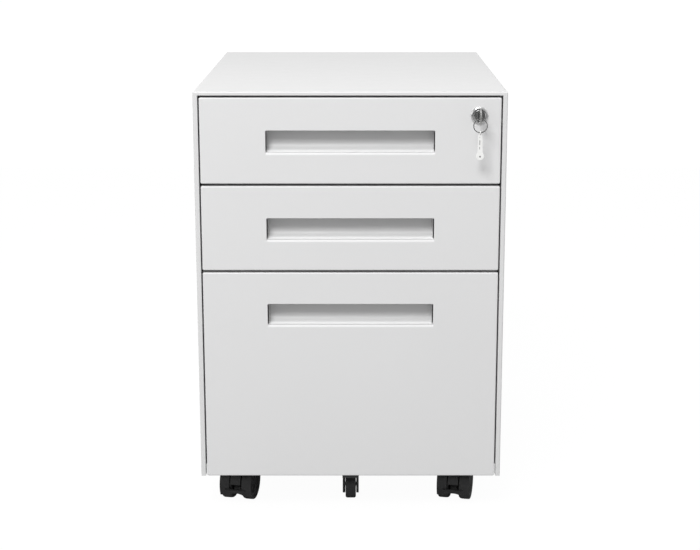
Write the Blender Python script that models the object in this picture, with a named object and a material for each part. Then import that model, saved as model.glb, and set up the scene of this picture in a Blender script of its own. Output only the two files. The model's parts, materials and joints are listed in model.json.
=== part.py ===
"""Mobile pedestal filing cabinet: wrapped steel body, two box drawers over one file drawer, drawer slides, cylinder lock with key, four twin-wheel casters and an anti-tip wheel. Metres, +Z up, front faces -Y."""

import math

import bmesh
import bpy
from mathutils import Matrix, Vector

# Body
WIDTH = 0.400
DEPTH = 0.500
TOP = 0.570
BODY_BOTTOM = 0.053
SHEET = 0.0012
SHELL_RADIUS = 0.0024
FLANGE_SIDE = 0.0060
FLANGE_TOP = 0.0048
KEY_REACH = 0.027
FRONT = -(DEPTH - KEY_REACH) / 2
BACK = FRONT + DEPTH
GAP = 0.0003

# Drawer fronts: bottom and top heights
FRONT_WIDTH = 0.3844
FRONT_DEPTH = 0.020
FRONT_SHEET = 0.001
FRONT_RADIUS = 0.0015
TOP_FRONT = (0.4514, 0.5624)
MIDDLE_FRONT = (0.3369, 0.4482)
FILE_FRONT = (0.0531, 0.3337)

# Recessed pulls
PULL_WIDTH = 0.2165
PULL_HEIGHT = 0.0288
PULL_BELOW_TOP = 0.0420
PULL_DEPTH = 0.016
PULL_STRAIGHT = 0.0153
PULL_ARC = 0.013
PULL_SHEET = 0.001
ARC_STEPS = 6

# Drawer boxes
TRAY_WIDTH = 0.360
TRAY_LENGTH = 0.440
TRAY_SHEET = 0.001
TOP_TRAY = (0.4570, 0.5525)
MIDDLE_TRAY = (0.3425, 0.4320)
FILE_TRAY = (0.0670, 0.3000)

# Slides
SLIDE_OUT = 0.1943
SLIDE_IN = 0.1820
SLIDE_WALL = 0.0012
SLIDE_HEIGHT = 0.035
SLIDE_LENGTH = 0.430
MID_IN, MID_OUT, MID_HEIGHT = 0.1830, 0.1925, 0.0300
INNER_IN, INNER_OUT, INNER_HEIGHT = 0.1803, 0.1908, 0.0240
SLIDE_START = 0.0225
SLIDE_Z = {"top": 0.4900, "middle": 0.3760, "file": 0.2000}

# Uprights, rail and base
UPRIGHT_IN, UPRIGHT_OUT, UPRIGHT_WIDE = 0.1946, 0.1985, 0.030
BASE_UNDER = 0.0610
BASE_RIM = 0.0045

# Lock and key
LOCK_X = 0.1640
LOCK_Z = 0.5400
BEZEL_RADIUS = 0.0110
BARREL_RADIUS = 0.0098
BORE_RADIUS = 0.0083
PLUG_RADIUS = 0.0080
LOCK_HOLE = 0.0101
BOW_RADIUS = 0.0105
KEY_THICK = 0.0020
RING_Y = -0.0200
RING_RADIUS = 0.00855
RING_WIRE = 0.0006
RING_TOP = -0.00205

# Casters
STEM_X = 0.1483
STEM_FRONT = 0.0726
STEM_REAR = 0.4300
TRAIL = 0.018
CASTER_YAW = math.radians(-11.5)
WHEEL_RADIUS = 0.025
WHEEL_IN = 0.0056
WHEEL_OUT = 0.0219
AXLE_RADIUS = 0.003
FENDER_IN, FENDER_OUT = 0.0262, 0.0285
FENDER_HALF = 0.0225
WEB_HALF = 0.0048
WEB_RADIUS = 0.0190
HOOD_LOW = math.radians(208)
WINDOW_HALF, NECK_HALF = 0.0088, 0.0070
WINDOW_LOW, WINDOW_TOP, SLIT_TOP = 0.0216, 0.0286, 0.0440
CASTER_TOP = 0.0579
PLATE_THICK = 0.0025

# Anti-tip wheel under the file drawer
TIP_BEHIND = 0.052
TIP_RADIUS = 0.019
TIP_CLEAR = 0.0015
TIP_WIDE = 0.0146
FORK_WIDE = 0.022
FORK_SHEET = 0.0034
FORK_BACK = 0.0225

for each in list(bpy.data.objects):
    bpy.data.objects.remove(each, do_unlink=True)

PARTS = bpy.data.collections.new("filing_cabinet")
CUTTERS = bpy.data.collections.new("cutters")
bpy.context.scene.collection.children.link(PARTS)
bpy.context.scene.collection.children.link(CUTTERS)


def finish_of(name, colour, roughness, metallic):
    material = bpy.data.materials.new(name)
    material.use_nodes = True
    shader = material.node_tree.nodes["Principled BSDF"]
    shader.inputs["Base Color"].default_value = (*colour, 1.0)
    shader.inputs["Roughness"].default_value = roughness
    shader.inputs["Metallic"].default_value = metallic
    return material


POWDER = ((0.72, 0.72, 0.715), 0.45, 0.0)
ZINC = ((0.55, 0.56, 0.57), 0.35, 1.0)
CHROME = ((0.78, 0.78, 0.78), 0.12, 1.0)
NYLON = ((0.02, 0.02, 0.021), 0.45, 0.0)
PALE = ((0.75, 0.75, 0.73), 0.4, 0.0)


def pivot(name, parent, location, yaw=0.0):
    empty = bpy.data.objects.new(name, None)
    PARTS.objects.link(empty)
    empty.parent = parent
    empty.location = location
    empty.rotation_euler = (0.0, 0.0, yaw)
    return empty


def place(name, mesh, parent, location=(0, 0, 0), rotation=(0, 0, 0), finish=None):
    item = bpy.data.objects.new(name, mesh)
    item.parent = parent
    item.location = location
    item.rotation_euler = rotation
    if finish is None:
        CUTTERS.objects.link(item)
        item.hide_render = True
        item.display_type = "WIRE"
    else:
        PARTS.objects.link(item)
        mesh.materials.clear()
        mesh.materials.append(finish_of(name + "_finish", *finish))
    return item


def mesh_of(name, bm):
    mesh = bpy.data.meshes.new(name)
    bmesh.ops.recalc_face_normals(bm, faces=bm.faces)
    bm.to_mesh(mesh)
    bm.free()
    return mesh


def block(name, parent, lo, hi, finish=None, rounded=None, radius=0.0, steps=2):
    """A box between two corners; rounded picks the edges to round by their midpoint, measured from the box's centre."""
    lo, hi = Vector(lo), Vector(hi)
    size, centre = hi - lo, (lo + hi) / 2
    bm = bmesh.new()
    bmesh.ops.create_cube(bm, size=1.0, matrix=Matrix.Diagonal((*size, 1.0)))
    if rounded:
        picked = [e for e in bm.edges if rounded((e.verts[0].co + e.verts[1].co) / 2)]
        bmesh.ops.bevel(
            bm, geom=picked, offset=radius, segments=steps, affect="EDGES", profile=0.5
        )
    return place(name, mesh_of(name, bm), parent, centre, finish=finish)


def rod(name, parent, axis, centre, radius, length, finish=None, sides=24, turn=0.0):
    bm = bmesh.new()
    bmesh.ops.create_cone(
        bm, cap_ends=True, segments=sides, radius1=radius, radius2=radius, depth=length
    )
    about = {
        "X": Matrix.Rotation(math.pi / 2, 4, "Y"),
        "Y": Matrix.Rotation(math.pi / 2, 4, "X"),
        "Z": Matrix.Identity(4),
    }[axis]
    bmesh.ops.transform(
        bm, matrix=about @ Matrix.Rotation(turn, 4, "Z"), verts=bm.verts
    )
    return place(name, mesh_of(name, bm), parent, centre, finish=finish)


def outline(name, parent, points, axis, centre, thick, finish=None):
    """A flat closed outline given thickness. Along X the points are (y, z), along Y they are (x, z), along Z they are (x, y)."""
    curve = bpy.data.curves.new(name, "CURVE")
    curve.dimensions = "2D"
    curve.fill_mode = "BOTH"
    curve.extrude = thick / 2
    spline = curve.splines.new("POLY")
    spline.points.add(len(points) - 1)
    for point, (u, v) in zip(spline.points, points):
        point.co = (u, v, 0.0, 1.0)
    spline.use_cyclic_u = True
    holder = bpy.data.objects.new(name + "_curve", curve)
    CUTTERS.objects.link(holder)
    bpy.context.view_layer.update()
    graph = bpy.context.evaluated_depsgraph_get()
    mesh = bpy.data.meshes.new_from_object(holder.evaluated_get(graph))
    bpy.data.objects.remove(holder, do_unlink=True)
    bm = bmesh.new()
    bm.from_mesh(mesh)
    bmesh.ops.remove_doubles(bm, verts=bm.verts, dist=1e-6)
    swap = {
        "X": Matrix(((0, 0, 1, 0), (1, 0, 0, 0), (0, 1, 0, 0), (0, 0, 0, 1))),
        "Y": Matrix(((1, 0, 0, 0), (0, 0, -1, 0), (0, 1, 0, 0), (0, 0, 0, 1))),
        "Z": Matrix.Identity(4),
    }[axis]
    bmesh.ops.transform(bm, matrix=swap, verts=bm.verts)
    bpy.data.meshes.remove(mesh)
    return place(name, mesh_of(name, bm), parent, centre, finish=finish)


def combine(item, other, how):
    step = item.modifiers.new(how.lower() + "_" + other.name, "BOOLEAN")
    step.operation = how
    step.solver = "EXACT"
    step.object = other


def cut(item, *others):
    for other in others:
        combine(item, other, "DIFFERENCE")


def join(item, *others):
    for other in others:
        combine(item, other, "UNION")


def channel(name, parent, side, x_in, x_out, y0, y1, z, height, wall, opens, finish):
    """A C-section slide member along Y on one side of the body; opens is 'in' or 'out'."""
    lo, hi = sorted((side * x_in, side * x_out))
    item = block(
        name, parent, (lo, y0, z - height / 2), (hi, y1, z + height / 2), finish
    )
    a, b = (x_in - 0.002, x_out - wall) if opens == "in" else (x_in + wall, x_out + 0.002)
    lo, hi = sorted((side * a, side * b))
    hollow = block(
        name + "_hollow",
        parent,
        (lo, y0 - 0.002, z - height / 2 + wall),
        (hi, y1 + 0.002, z + height / 2 - wall),
    )
    cut(item, hollow)
    return item


# ---------------------------------------------------------------- body
cabinet = pivot("cabinet", None, (0, 0, 0))
half = WIDTH / 2
shell = block(
    "outer_shell",
    cabinet,
    (-half, FRONT, BODY_BOTTOM),
    (half, BACK, TOP),
    POWDER,
    rounded=lambda m: m.z > 0.2 and abs(m.x) > 0.19,
    radius=SHELL_RADIUS,
    steps=3,
)
cut(
    shell,
    block(
        "shell_inside",
        cabinet,
        (-half + SHEET, FRONT + SHEET, BODY_BOTTOM - 0.01),
        (half - SHEET, BACK + 0.01, TOP - SHEET),
    ),
    block(
        "shell_mouth",
        cabinet,
        (-half + FLANGE_SIDE, FRONT - 0.01, BODY_BOTTOM - 0.01),
        (half - FLANGE_SIDE, FRONT + 0.01, TOP - FLANGE_TOP),
    ),
)
inner = half - SHEET - GAP
back_panel = block(
    "back_panel",
    cabinet,
    (-inner, BACK - 0.0125, BODY_BOTTOM),
    (inner, BACK, TOP - SHEET - GAP),
    POWDER,
)
cut(
    back_panel,
    block(
        "back_hollow",
        cabinet,
        (-inner + SHEET, BACK - 0.02, BODY_BOTTOM + SHEET),
        (inner - SHEET, BACK - SHEET, TOP - 2 * SHEET - GAP),
    ),
)
base_pan = block(
    "base_pan",
    cabinet,
    (-inner, FRONT + 0.024, BASE_UNDER),
    (inner, BACK - 0.0128, BASE_UNDER + BASE_RIM),
    POWDER,
)
cut(
    base_pan,
    block(
        "base_hollow",
        cabinet,
        (-inner + SHEET, FRONT + 0.024 + SHEET, BASE_UNDER + SHEET),
        (inner - SHEET, BACK - 0.0128 - SHEET, BASE_UNDER + 0.02),
    ),
)
for side, label in ((-1, "left"), (1, "right")):
    for y0, end in ((FRONT + 0.0215, "front"), (BACK - 0.048, "rear")):
        lo, hi = sorted((side * UPRIGHT_IN, side * UPRIGHT_OUT))
        upright = block(
            f"{label}_{end}_upright",
            cabinet,
            (lo, y0, BASE_UNDER + BASE_RIM + GAP),
            (hi, y0 + UPRIGHT_WIDE, TOP - SHEET - GAP),
            ZINC,
        )
        lo, hi = sorted((side * (UPRIGHT_IN + 0.001), side * (UPRIGHT_OUT + 0.002)))
        cut(
            upright,
            block(
                f"{label}_{end}_upright_hollow",
                cabinet,
                (lo, y0 + 0.001, 0.05),
                (hi, y0 + UPRIGHT_WIDE - 0.001, TOP),
            ),
        )
top_rail = block(
    "top_rail",
    cabinet,
    (-0.1943, FRONT + 0.0215, 0.5565),
    (0.1943, FRONT + 0.0515, TOP - SHEET - GAP),
    ZINC,
)
cut(
    top_rail,
    block(
        "top_rail_hollow",
        cabinet,
        (-0.2, FRONT + 0.0227, 0.5577),
        (0.2, FRONT + 0.06, TOP - 2 * SHEET - GAP),
    ),
)
slide_y = FRONT + SLIDE_START
for key, z in SLIDE_Z.items():
    for side, label in ((-1, "left"), (1, "right")):
        channel(
            f"{key}_outer_slide_{label}",
            cabinet,
            side,
            SLIDE_IN,
            SLIDE_OUT,
            slide_y,
            slide_y + SLIDE_LENGTH,
            z,
            SLIDE_HEIGHT,
            SLIDE_WALL,
            "in",
            ZINC,
        )


# ---------------------------------------------------------------- drawers
def pull_points(grow, front_y):
    """Recess section as (depth, height below the opening's top)."""
    deep = PULL_DEPTH + grow
    arc_y = PULL_DEPTH - PULL_ARC
    points = [(front_y, grow), (deep, grow)]
    for i in range(ARC_STEPS + 1):
        angle = -math.pi / 2 * i / ARC_STEPS
        r = PULL_ARC + grow
        points.append(
            (arc_y + r * math.cos(angle), -PULL_STRAIGHT + r * math.sin(angle))
        )
    points.append((front_y, -PULL_STRAIGHT - PULL_ARC - grow))
    return points


def drawer(key, heights, tray_heights, full_extension):
    body = pivot(f"{key}_drawer", cabinet, (0, FRONT, 0))
    z0, z1 = heights
    wide = FRONT_WIDTH / 2
    front = block(
        f"{key}_front",
        body,
        (-wide, 0, z0),
        (wide, FRONT_DEPTH, z1),
        POWDER,
        rounded=lambda m: m.y < FRONT_DEPTH / 2 - 1e-4,
        radius=FRONT_RADIUS,
        steps=2,
    )
    s = FRONT_SHEET
    opening_top = z1 - PULL_BELOW_TOP
    cut(
        front,
        block(
            f"{key}_front_hollow",
            body,
            (-wide + s, s, z0 + s),
            (wide - s, FRONT_DEPTH + 0.01, z1 - s),
        ),
        block(
            f"{key}_pull_opening",
            body,
            (-PULL_WIDTH / 2, -0.01, opening_top - PULL_HEIGHT),
            (PULL_WIDTH / 2, 0.01, opening_top),
        ),
    )
    liner = block(
        f"{key}_front_liner",
        body,
        (-wide + s + GAP, FRONT_DEPTH - 0.0013, z0 + s + GAP),
        (wide - s - GAP, FRONT_DEPTH - 0.0003, z1 - s - GAP),
        POWDER,
    )
    cup = outline(
        f"{key}_pull_cup",
        body,
        pull_points(PULL_SHEET, s + GAP),
        "X",
        (0, 0, opening_top),
        PULL_WIDTH + 2 * PULL_SHEET,
        POWDER,
    )
    cut(
        cup,
        outline(
            f"{key}_pull_hollow",
            body,
            pull_points(0.0, -0.002),
            "X",
            (0, 0, opening_top),
            PULL_WIDTH,
        ),
    )
    t0, t1 = tray_heights
    tray_y = FRONT_DEPTH + GAP
    half_tray = TRAY_WIDTH / 2
    tray = block(
        f"{key}_tray",
        body,
        (-half_tray, tray_y, t0),
        (half_tray, tray_y + TRAY_LENGTH, t1),
        POWDER,
    )
    w = TRAY_SHEET
    cut(
        tray,
        block(
            f"{key}_tray_hollow",
            body,
            (-half_tray + w, tray_y + w, t0 + w),
            (half_tray - w, tray_y + TRAY_LENGTH - w, t1 + 0.02),
        ),
    )
    start = SLIDE_START
    z = SLIDE_Z[key]
    for side, label in ((-1, "left"), (1, "right")):
        channel(
            f"{key}_inner_slide_{label}",
            body,
            side,
            INNER_IN,
            INNER_OUT,
            start,
            start + SLIDE_LENGTH,
            z,
            INNER_HEIGHT,
            SLIDE_WALL,
            "out",
            ZINC,
        )
    return body, front, liner, tray


top_drawer, top_front, top_liner, top_tray = drawer("top", TOP_FRONT, TOP_TRAY, False)
drawer("middle", MIDDLE_FRONT, MIDDLE_TRAY, False)
file_drawer, *_ = drawer("file", FILE_FRONT, FILE_TRAY, True)

mid_slides = pivot("file_mid_slides", cabinet, (0, FRONT, 0))
for side, label in ((-1, "left"), (1, "right")):
    channel(
        f"file_mid_slide_{label}",
        mid_slides,
        side,
        MID_IN,
        MID_OUT,
        SLIDE_START,
        SLIDE_START + SLIDE_LENGTH,
        SLIDE_Z["file"],
        MID_HEIGHT,
        0.0010,
        "in",
        ZINC,
    )
    lo, hi = sorted((side * 0.1640, side * 0.1660))
    block(
        f"hanging_file_rail_{label}",
        file_drawer,
        (lo, FRONT_DEPTH + GAP + TRAY_SHEET + GAP, 0.2850),
        (hi, FRONT_DEPTH + TRAY_LENGTH - TRAY_SHEET, 0.2990),
        ZINC,
    )

# ---------------------------------------------------------------- lock
for item, name in ((top_front, "front"), (top_liner, "liner"), (top_tray, "tray")):
    cut(
        item,
        rod(
            f"lock_hole_{name}",
            top_drawer,
            "Y",
            (LOCK_X, 0.010, LOCK_Z),
            LOCK_HOLE,
            0.030,
        ),
    )
housing = rod(
    "lock_housing", top_drawer, "Y", (LOCK_X, 0.0110, LOCK_Z), BARREL_RADIUS, 0.0230, CHROME
)
join(
    housing,
    rod("bezel", top_drawer, "Y", (LOCK_X, -0.0016, LOCK_Z), BEZEL_RADIUS, 0.0026),
)
cut(
    housing,
    rod("lock_bore", top_drawer, "Y", (LOCK_X, 0.010, LOCK_Z), BORE_RADIUS, 0.050),
)
lock_turn = pivot("lock_turn", top_drawer, (LOCK_X, 0, LOCK_Z))
plug = rod("lock_plug", lock_turn, "Y", (0, 0.0098, 0), PLUG_RADIUS, 0.0250, CHROME)
cut(
    plug,
    block("keyway", lock_turn, (-0.0014, -0.01, -0.0041), (0.0014, 0.0190, 0.0041)),
)
block(
    "lock_cam",
    lock_turn,
    (-0.0135, 0.0226, -0.0050),
    (0.0050, 0.0246, 0.0050),
    ZINC,
    rounded=lambda m: abs(m.x) > 0.009 and abs(m.z) > 0.004,
    radius=0.003,
)
key = rod(
    "key",
    lock_turn,
    "X",
    (0, -(KEY_REACH - BOW_RADIUS), 0),
    BOW_RADIUS,
    KEY_THICK,
    CHROME,
    sides=24,
)
join(
    key,
    block("key_blade", lock_turn, (-0.0009, -0.0080, -0.0036), (0.0009, 0.0180, 0.0036)),
)
cut(
    key,
    rod("key_hole", lock_turn, "X", (0, RING_Y, -0.0002), 0.00275, 0.01, sides=16),
)
ring_swing = pivot("key_ring_swing", lock_turn, (0, RING_Y, RING_TOP))
circle = bpy.data.curves.new("key_ring", "CURVE")
circle.dimensions = "3D"
circle.bevel_depth = RING_WIRE
circle.bevel_resolution = 1
path = circle.splines.new("POLY")
RING_POINTS = 24
path.points.add(RING_POINTS - 1)
for i, point in enumerate(path.points):
    angle = 2 * math.pi * i / RING_POINTS
    point.co = (
        RING_RADIUS * math.cos(angle),
        0.0,
        RING_RADIUS * math.sin(angle) - RING_RADIUS,
        1.0,
    )
path.use_cyclic_u = True
holder = bpy.data.objects.new("key_ring_curve", circle)
CUTTERS.objects.link(holder)
bpy.context.view_layer.update()
ring_mesh = bpy.data.meshes.new_from_object(
    holder.evaluated_get(bpy.context.evaluated_depsgraph_get())
)
bpy.data.objects.remove(holder, do_unlink=True)
bm = bmesh.new()
bm.from_mesh(ring_mesh)
bmesh.ops.remove_doubles(bm, verts=bm.verts, dist=1e-6)
bpy.data.meshes.remove(ring_mesh)
place("key_ring", mesh_of("key_ring", bm), ring_swing, finish=CHROME)

tag_swing = pivot("key_tag_swing", ring_swing, (0, 0, -2 * RING_RADIUS))
eyelet_hole = 0.00125
tag = rod("key_tag", tag_swing, "X", (0, 0, 0), 0.0025, 0.0012, PALE, sides=16)
band_half, end_radius, end_z = 0.0033, 0.0050, -0.0300
rise = math.sqrt(end_radius**2 - band_half**2)
tag_points = [(-band_half, -0.0019), (band_half, -0.0019)]
start_angle = math.atan2(rise, band_half)
for i in range(13):
    angle = start_angle - i * (2 * start_angle + math.pi) / 12
    tag_points.append(
        (end_radius * math.cos(angle), end_z + end_radius * math.sin(angle))
    )
blade = outline("tag_blade", tag_swing, tag_points, "Y", (0, 0, 0), 0.0013)
join(tag, blade)
cut(
    tag,
    rod("tag_eye", tag_swing, "X", (0, 0, 0), eyelet_hole, 0.01, sides=12),
    rod("tag_hole", tag_swing, "Y", (0, 0, end_z), 0.0016, 0.01, sides=12),
)


# ---------------------------------------------------------------- casters
def ring_sector(r_in, r_out, start, end, steps):
    outer = [
        (
            r_out * math.cos(start + (end - start) * i / steps),
            r_out * math.sin(start + (end - start) * i / steps),
        )
        for i in range(steps + 1)
    ]
    inner_arc = [
        (
            r_in * math.cos(end + (start - end) * i / steps),
            r_in * math.sin(end + (start - end) * i / steps),
        )
        for i in range(steps + 1)
    ]
    return outer + inner_arc


def caster(label, x, y, yaw):
    plate = block(
        f"{label}_caster_plate",
        cabinet,
        (x - 0.024, y - 0.024, BASE_UNDER - GAP - PLATE_THICK),
        (x + 0.024, y + 0.024, BASE_UNDER - GAP),
        ZINC,
    )
    cut(plate, rod(f"{label}_stem_hole", cabinet, "Z", (x, y, 0.06), 0.0058, 0.02))
    swivel = pivot(f"{label}_caster_swivel", cabinet, (x, y, 0), yaw)
    hood = rod(
        f"{label}_caster_hood", swivel, "Z", (0, 0, 0.0547), 0.0130, 0.0064, NYLON
    )
    centre = (0, -TRAIL, WHEEL_RADIUS)
    fender = outline(
        f"{label}_fender",
        swivel,
        ring_sector(FENDER_IN, FENDER_OUT, math.radians(12), HOOD_LOW, 16),
        "X",
        centre,
        2 * FENDER_HALF,
    )
    web = rod(f"{label}_web", swivel, "X", centre, WEB_RADIUS, 2 * WEB_HALF, sides=32)
    rib = outline(
        f"{label}_rib",
        swivel,
        ring_sector(0.012, 0.0271, math.radians(14), math.radians(174), 14),
        "X",
        centre,
        2 * WEB_HALF - 0.0006,
    )
    neck = block(
        f"{label}_neck",
        swivel,
        (-WEB_HALF + 0.0004, -TRAIL + 0.004, 0.030),
        (WEB_HALF - 0.0004, 0.0115, 0.0560),
    )
    stem = rod(f"{label}_stem", swivel, "Z", (0, 0, 0.0575), 0.0050, 0.0054)
    # The hood's lower front edge arches over the gap between the wheels.
    arch = [(-0.013, -0.005), (0.013, -0.005)]
    arch += [(0.013 - 0.026 * i / 12, 0.0158 - 0.0048 * (1 - i / 6) ** 2) for i in range(13)]
    cut(fender, outline(f"{label}_arch", swivel, arch, "Y", (0, -TRAIL - 0.026, 0), 0.012))
    join(hood, web, rib, fender, neck, stem)
    # A window in the hood's front, and a slit up each side of the neck above it.
    window = [
        (-WINDOW_HALF, WINDOW_LOW),
        (WINDOW_HALF, WINDOW_LOW),
        (WINDOW_HALF, SLIT_TOP),
        (NECK_HALF, SLIT_TOP),
        (NECK_HALF, WINDOW_TOP),
        (-NECK_HALF, WINDOW_TOP),
        (-NECK_HALF, SLIT_TOP),
        (-WINDOW_HALF, SLIT_TOP),
    ]
    cut(hood, outline(f"{label}_window", swivel, window, "Y", (0, -TRAIL - 0.0245, 0), 0.015))
    cut(
        hood,
        rod(f"{label}_axle_bore", swivel, "X", centre, AXLE_RADIUS + GAP, 0.03, sides=16),
    )
    spin = pivot(f"{label}_caster_spin", swivel, centre)
    wheels = rod(
        f"{label}_caster_wheels", spin, "X", (0, 0, 0), AXLE_RADIUS, 0.030, NYLON, sides=16
    )
    for side in (-1, 1):
        bm = bmesh.new()
        bmesh.ops.create_cone(
            bm,
            cap_ends=True,
            segments=32,
            radius1=WHEEL_RADIUS,
            radius2=WHEEL_RADIUS,
            depth=WHEEL_OUT - WHEEL_IN,
        )
        # A vertex of the tread stands straight down, so the lowest point is the true radius.
        rims = [e for e in bm.edges if abs(e.verts[0].co.z - e.verts[1].co.z) < 1e-6]
        bmesh.ops.bevel(
            bm, geom=rims, offset=0.0022, segments=2, affect="EDGES", profile=0.5
        )
        bmesh.ops.transform(bm, matrix=Matrix.Rotation(math.pi / 2, 4, "Y"), verts=bm.verts)
        tread = place(
            f"{label}_wheel_{'a' if side < 0 else 'b'}",
            mesh_of(f"{label}_wheel", bm),
            spin,
            (side * (WHEEL_IN + WHEEL_OUT) / 2, 0, 0),
        )
        join(wheels, tread)


caster("front_left", -STEM_X, FRONT + STEM_FRONT, CASTER_YAW)
caster("front_right", STEM_X, FRONT + STEM_FRONT, CASTER_YAW)
caster("rear_left", -STEM_X, FRONT + STEM_REAR, math.radians(148))
caster("rear_right", STEM_X, FRONT + STEM_REAR, math.radians(163))

# ---------------------------------------------------------------- anti-tip wheel
tip_z = TIP_RADIUS + TIP_CLEAR
fork_half = FORK_WIDE / 2
bracket = block(
    "anti_tip_bracket",
    file_drawer,
    (-fork_half, 0.0020, 0.0490),
    (fork_half, TIP_BEHIND + FORK_BACK, 0.0527),
    NYLON,
)
cheek = [(-0.013, 0.0525), (-0.013, tip_z)]
cheek += [
    (
        0.013 * math.cos(math.pi + math.pi * i / 8),
        tip_z - 0.0015 + 0.0105 * math.sin(math.pi + math.pi * i / 8),
    )
    for i in range(9)
]
cheek += [(0.0196, 0.0270), (FORK_BACK - 0.0002, 0.0300), (FORK_BACK - 0.0002, 0.0525)]
for side, label in ((-1, "left"), (1, "right")):
    join(
        bracket,
        outline(
            f"fork_{label}",
            file_drawer,
            cheek,
            "X",
            (side * (fork_half - FORK_SHEET / 2), TIP_BEHIND, 0),
            FORK_SHEET,
        ),
    )
join(
    bracket,
    block(
        "fork_back",
        file_drawer,
        (-fork_half + 0.0003, TIP_BEHIND + 0.0202, 0.0280),
        (fork_half - 0.0003, TIP_BEHIND + FORK_BACK, 0.0524),
    ),
)
cut(
    bracket,
    rod(
        "fork_bore",
        file_drawer,
        "X",
        (0, TIP_BEHIND, tip_z),
        0.0028,
        0.05,
        sides=16,
    ),
)
tip_spin = pivot("anti_tip_spin", file_drawer, (0, TIP_BEHIND, tip_z))
tip_wheel = rod(
    "anti_tip_wheel", tip_spin, "X", (0, 0, 0), TIP_RADIUS, TIP_WIDE, NYLON, sides=32
)
join(tip_wheel, rod("tip_axle", tip_spin, "X", (0, 0, 0), 0.0025, FORK_WIDE, sides=16))
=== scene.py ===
import json
import math

import bmesh
import bpy
from mathutils import Matrix, Vector


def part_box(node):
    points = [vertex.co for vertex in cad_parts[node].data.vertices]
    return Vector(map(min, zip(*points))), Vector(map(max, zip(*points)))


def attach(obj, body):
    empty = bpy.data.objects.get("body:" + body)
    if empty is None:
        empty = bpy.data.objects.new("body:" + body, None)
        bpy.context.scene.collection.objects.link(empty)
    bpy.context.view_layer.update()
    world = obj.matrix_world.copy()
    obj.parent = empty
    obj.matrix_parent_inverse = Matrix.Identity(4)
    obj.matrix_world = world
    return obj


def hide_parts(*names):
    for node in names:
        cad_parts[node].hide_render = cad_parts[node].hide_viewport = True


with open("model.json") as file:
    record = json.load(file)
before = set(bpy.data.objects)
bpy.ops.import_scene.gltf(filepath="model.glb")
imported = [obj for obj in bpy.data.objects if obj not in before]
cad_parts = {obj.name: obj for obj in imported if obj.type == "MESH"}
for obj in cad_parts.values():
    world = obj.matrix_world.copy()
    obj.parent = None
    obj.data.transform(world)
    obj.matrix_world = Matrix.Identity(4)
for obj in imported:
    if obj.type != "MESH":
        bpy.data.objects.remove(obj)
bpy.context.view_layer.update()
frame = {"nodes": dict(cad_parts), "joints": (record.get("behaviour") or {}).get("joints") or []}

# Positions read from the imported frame.
SHELL_LO, SHELL_HI = (Vector(v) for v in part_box("outer_shell"))
F, B = SHELL_LO.y, SHELL_HI.y
HALF, TOP, LOW = SHELL_HI.x, SHELL_HI.z, SHELL_LO.z
KEYS = ("top", "middle", "file")
FRONTS = {k: (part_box(f"{k}_front")[0][2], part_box(f"{k}_front")[1][2]) for k in KEYS}
FRONT_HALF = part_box("top_front")[1][0]
LOCK_X = (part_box("lock_plug")[0][0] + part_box("lock_plug")[1][0]) / 2
LOCK_Z = (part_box("lock_plug")[0][2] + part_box("lock_plug")[1][2]) / 2
MM = 0.001


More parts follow.
